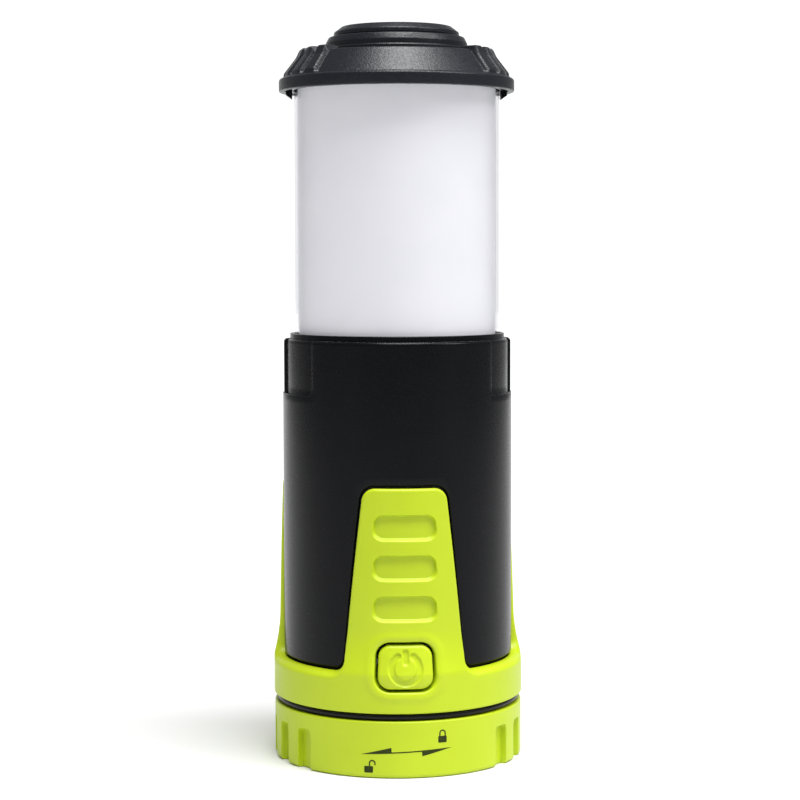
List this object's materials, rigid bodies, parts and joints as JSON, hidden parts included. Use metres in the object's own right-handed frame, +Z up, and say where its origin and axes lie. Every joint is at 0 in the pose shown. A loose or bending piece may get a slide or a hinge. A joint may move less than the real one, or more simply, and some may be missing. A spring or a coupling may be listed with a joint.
{
  "type": "camping lantern",
  "caption": "Round pop-up camping lantern: a head and frosted diffuser slide down into a battery body with a lime grip frame, a front push button and a twist-off base cap.",
  "frame": {"origin": "centre of the underside of the base cap, on the lantern's axis", "axes": "+Z up along the lantern's axis, -Y towards the front with the power button, +X to the right seen from the front"},
  "size_m": [0.0664, 0.0664, 0.1932],
  "materials": {
    "body_black": "fine matte grain",
    "head_charcoal": "satin with fine grain",
    "lime": "satin",
    "diffuser_clear": "clear, polished",
    "diffuser_frost": "frosted, lets light through",
    "inner_white": "satin white",
    "rubber_black": "matte",
    "screw_steel": "zinc plated",
    "sink_aluminium": "milled",
    "contact_brass": "bright",
    "board_green": "solder mask",
    "led_yellow": "phosphor",
    "cell_jacket": "printed jacket with no marks",
    "lead_red": "wire insulation",
    "lead_black": "wire insulation"
  },
  "bodies": {
    "lantern_body": {"body_shell": "body_black", "grip_frame": "lime", "mouth_ring": "body_black", "friction_ring": "rubber_black", "tact_switch": "body_black", "switch_board": "board_green", "switch_screw_1": "screw_steel", "switch_screw_2": "screw_steel", "battery_holder": "body_black", "battery_cell_1": "cell_jacket", "battery_cell_2": "cell_jacket", "battery_cell_3": "cell_jacket", "contact_spring_1": "screw_steel", "contact_spring_2": "screw_steel", "contact_spring_3": "screw_steel", "top_contact_1": "contact_brass", "top_contact_2": "contact_brass", "top_contact_3": "contact_brass", "contact_disc": "body_black", "bridge_plate": "contact_brass", "end_plate": "contact_brass", "holder_screw_1": "screw_steel", "holder_screw_2": "screw_steel", "holder_screw_3": "screw_steel", "cap_seal": "rubber_black", "core_tube": "inner_white", "core_screw_1": "screw_steel", "core_screw_2": "screw_steel", "core_screw_3": "screw_steel", "heat_sink": "sink_aluminium", "led_board": "board_green", "led_1": "led_yellow", "led_2": "led_yellow", "led_3": "led_yellow", "board_screw_1": "screw_steel", "board_screw_2": "screw_steel", "board_screw_3": "screw_steel", "core_cover": "inner_white", "driver_board": "board_green", "driver_coil": "body_black", "switch_lead_left": "lead_red", "switch_lead_right": "lead_black", "led_lead_left": "lead_red", "led_lead_right": "lead_black"},
    "diffuser_head": {"head_skirt": "head_charcoal", "crown_ring": "head_charcoal", "top_disc": "head_charcoal", "latch_ring": "body_black", "head_reflector": "inner_white", "head_screw_1": "screw_steel", "head_screw_2": "screw_steel", "head_screw_3": "screw_steel", "head_gasket": "rubber_black", "diffuser_tube": "diffuser_clear", "diffuser_sleeve": "diffuser_frost", "stop_ring": "body_black"},
    "button": {"power_button": "lime", "switch_plunger": "body_black"},
    "cap": {"base_cap": "lime"}
  },
  "joints": [
    {"name": "diffuser_slide", "type": "slide", "parent": "lantern_body", "child": "diffuser_head", "axis": [0, 0, 1], "range_m": [-0.0633, 0]},
    {"name": "button_press", "type": "slide", "parent": "lantern_body", "child": "button", "axis": [0, 1, 0], "range_m": [0, 0.001], "stiffness_N_per_m": 1500},
    {"name": "cap_turn", "type": "hinge", "parent": "lantern_body", "child": "cap", "pos_m": [0, 0, 0], "axis": [0, 0, 1], "range_deg": [-40, 0]}
  ]
}
